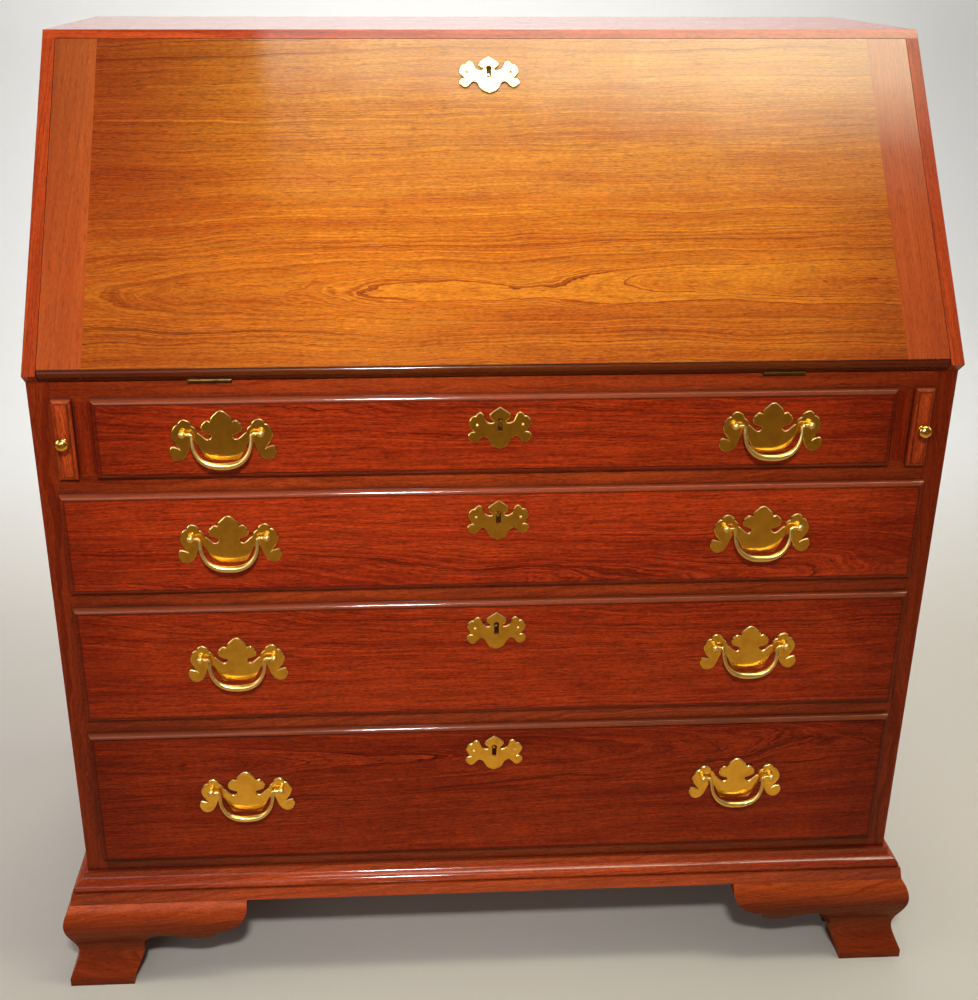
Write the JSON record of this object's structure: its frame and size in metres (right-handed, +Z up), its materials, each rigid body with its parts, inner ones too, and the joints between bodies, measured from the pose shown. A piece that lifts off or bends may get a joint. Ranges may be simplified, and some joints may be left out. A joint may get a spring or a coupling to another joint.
{
  "type": "slant-front desk",
  "caption": "Slant-front writing desk: fall-front lid resting on pull-out lopers, lipped drawers with brass bail pulls, moulded base and ogee bracket feet.",
  "frame": {"origin": "on the floor under the middle of the desk's bounding box", "axes": "+X to the right seen from the front, +Y to the back, +Z up"},
  "size_m": [0.9714, 0.5262, 1.027],
  "materials": {
    "case_wood": "satin lacquer",
    "lid_wood": "satin lacquer",
    "interior_wood": "satin lacquer",
    "secondary_wood": "plain sanded",
    "brass": "polished"
  },
  "bodies": {
    "case": {"left_side": "case_wood", "right_side": "case_wood", "top_board": "case_wood", "back_panel": "secondary_wood", "bottom_board": "case_wood", "writing_board": "case_wood", "drawer_blade_1": "case_wood", "drawer_blade_2": "case_wood", "drawer_blade_3": "case_wood", "drawer_runners": "secondary_wood", "loper_partitions": "case_wood", "base_rails": "secondary_wood", "base_moulding_front": "case_wood", "base_moulding_left": "case_wood", "base_moulding_right": "case_wood", "foot_front_left": "case_wood", "foot_front_right": "case_wood", "foot_rear_left": "case_wood", "foot_rear_right": "case_wood", "case_hinge_leaves": "brass", "gallery_shelves": "interior_wood", "gallery_dividers": "interior_wood"},
    "lid": {"lid_panel": "lid_wood", "lid_end_left": "lid_wood", "lid_end_right": "lid_wood", "lid_hinge_leaves": "brass", "lid_lock": "brass"},
    "lid_lock_bolt": {"lid_lock_bolt": "brass"},
    "loper_left": {"loper_left": "case_wood", "loper_knob_left": "brass"},
    "loper_right": {"loper_right": "case_wood", "loper_knob_right": "brass"},
    "drawer_1": {"drawer_1_front": "case_wood", "drawer_1_box": "secondary_wood", "drawer_1_brasses": "brass"},
    "drawer_1_lock_bolt": {"drawer_1_lock_bolt": "brass"},
    "drawer_1_bail_left": {"drawer_1_bail_left": "brass"},
    "drawer_1_bail_right": {"drawer_1_bail_right": "brass"},
    "drawer_2": {"drawer_2_front": "case_wood", "drawer_2_box": "secondary_wood", "drawer_2_brasses": "brass"},
    "drawer_2_lock_bolt": {"drawer_2_lock_bolt": "brass"},
    "drawer_2_bail_left": {"drawer_2_bail_left": "brass"},
    "drawer_2_bail_right": {"drawer_2_bail_right": "brass"},
    "drawer_3": {"drawer_3_front": "case_wood", "drawer_3_box": "secondary_wood", "drawer_3_brasses": "brass"},
    "drawer_3_lock_bolt": {"drawer_3_lock_bolt": "brass"},
    "drawer_3_bail_left": {"drawer_3_bail_left": "brass"},
    "drawer_3_bail_right": {"drawer_3_bail_right": "brass"},
    "drawer_4": {"drawer_4_front": "case_wood", "drawer_4_box": "secondary_wood", "drawer_4_brasses": "brass"},
    "drawer_4_lock_bolt": {"drawer_4_lock_bolt": "brass"},
    "drawer_4_bail_left": {"drawer_4_bail_left": "brass"},
    "drawer_4_bail_right": {"drawer_4_bail_right": "brass"},
    "gallery_drawer_1": {"gallery_drawer_1": "interior_wood"},
    "gallery_drawer_2": {"gallery_drawer_2": "interior_wood"},
    "gallery_drawer_3": {"gallery_drawer_3": "interior_wood"},
    "gallery_drawer_4": {"gallery_drawer_4": "interior_wood"}
  },
  "joints": [
    {"name": "lid_hinge", "type": "hinge", "parent": "case", "child": "lid", "pos_m": [0, -0.23487, 0.7185], "axis": [1, 0, 0], "range_deg": [0, 128.1]},
    {"name": "lid_bolt_slide", "type": "slide", "parent": "lid", "child": "lid_lock_bolt", "axis": [0, 0.617, 0.7869], "range_m": [0, 0.005]},
    {"name": "loper_left_slide", "type": "slide", "parent": "case", "child": "loper_left", "axis": [0, -1, 0], "range_m": [0, 0.28]},
    {"name": "loper_right_slide", "type": "slide", "parent": "case", "child": "loper_right", "axis": [0, -1, 0], "range_m": [0, 0.28]},
    {"name": "drawer_1_slide", "type": "slide", "parent": "case", "child": "drawer_1", "axis": [0, -1, 0], "range_m": [0, 0.29]},
    {"name": "drawer_1_bolt_slide", "type": "slide", "parent": "drawer_1", "child": "drawer_1_lock_bolt", "axis": [0, 0, 1], "range_m": [0, 0.005]},
    {"name": "drawer_1_bail_left_hinge", "type": "hinge", "parent": "drawer_1", "child": "drawer_1_bail_left", "pos_m": [-0.2725, -0.24907, 0.668], "axis": [-1, 0, 0], "range_deg": [0, 95]},
    {"name": "drawer_1_bail_right_hinge", "type": "hinge", "parent": "drawer_1", "child": "drawer_1_bail_right", "pos_m": [0.2725, -0.24907, 0.668], "axis": [-1, 0, 0], "range_deg": [0, 95]},
    {"name": "drawer_2_slide", "type": "slide", "parent": "case", "child": "drawer_2", "axis": [0, -1, 0], "range_m": [0, 0.29]},
    {"name": "drawer_2_bolt_slide", "type": "slide", "parent": "drawer_2", "child": "drawer_2_lock_bolt", "axis": [0, 0, 1], "range_m": [0, 0.005]},
    {"name": "drawer_2_bail_left_hinge", "type": "hinge", "parent": "drawer_2", "child": "drawer_2_bail_left", "pos_m": [-0.2725, -0.24907, 0.5563], "axis": [-1, 0, 0], "range_deg": [0, 95]},
    {"name": "drawer_2_bail_right_hinge", "type": "hinge", "parent": "drawer_2", "child": "drawer_2_bail_right", "pos_m": [0.2725, -0.24907, 0.5563], "axis": [-1, 0, 0], "range_deg": [0, 95]},
    {"name": "drawer_3_slide", "type": "slide", "parent": "case", "child": "drawer_3", "axis": [0, -1, 0], "range_m": [0, 0.29]},
    {"name": "drawer_3_bolt_slide", "type": "slide", "parent": "drawer_3", "child": "drawer_3_lock_bolt", "axis": [0, 0, 1], "range_m": [0, 0.005]},
    {"name": "drawer_3_bail_left_hinge", "type": "hinge", "parent": "drawer_3", "child": "drawer_3_bail_left", "pos_m": [-0.2725, -0.24907, 0.41725], "axis": [-1, 0, 0], "range_deg": [0, 95]},
    {"name": "drawer_3_bail_right_hinge", "type": "hinge", "parent": "drawer_3", "child": "drawer_3_bail_right", "pos_m": [0.2725, -0.24907, 0.41725], "axis": [-1, 0, 0], "range_deg": [0, 95]},
    {"name": "drawer_4_slide", "type": "slide", "parent": "case", "child": "drawer_4", "axis": [0, -1, 0], "range_m": [0, 0.29]},
    {"name": "drawer_4_bolt_slide", "type": "slide", "parent": "drawer_4", "child": "drawer_4_lock_bolt", "axis": [0, 0, 1], "range_m": [0, 0.005]},
    {"name": "drawer_4_bail_left_hinge", "type": "hinge", "parent": "drawer_4", "child": "drawer_4_bail_left", "pos_m": [-0.2725, -0.24907, 0.2508], "axis": [-1, 0, 0], "range_deg": [0, 95]},
    {"name": "drawer_4_bail_right_hinge", "type": "hinge", "parent": "drawer_4", "child": "drawer_4_bail_right", "pos_m": [0.2725, -0.24907, 0.2508], "axis": [-1, 0, 0], "range_deg": [0, 95]},
    {"name": "gallery_drawer_1_slide", "type": "slide", "parent": "case", "child": "gallery_drawer_1", "axis": [0, -1, 0], "range_m": [0, 0.12]},
    {"name": "gallery_drawer_2_slide", "type": "slide", "parent": "case", "child": "gallery_drawer_2", "axis": [0, -1, 0], "range_m": [0, 0.12]},
    {"name": "gallery_drawer_3_slide", "type": "slide", "parent": "case", "child": "gallery_drawer_3", "axis": [0, -1, 0], "range_m": [0, 0.12]},
    {"name": "gallery_drawer_4_slide", "type": "slide", "parent": "case", "child": "gallery_drawer_4", "axis": [0, -1, 0], "range_m": [0, 0.12]}
  ]
}
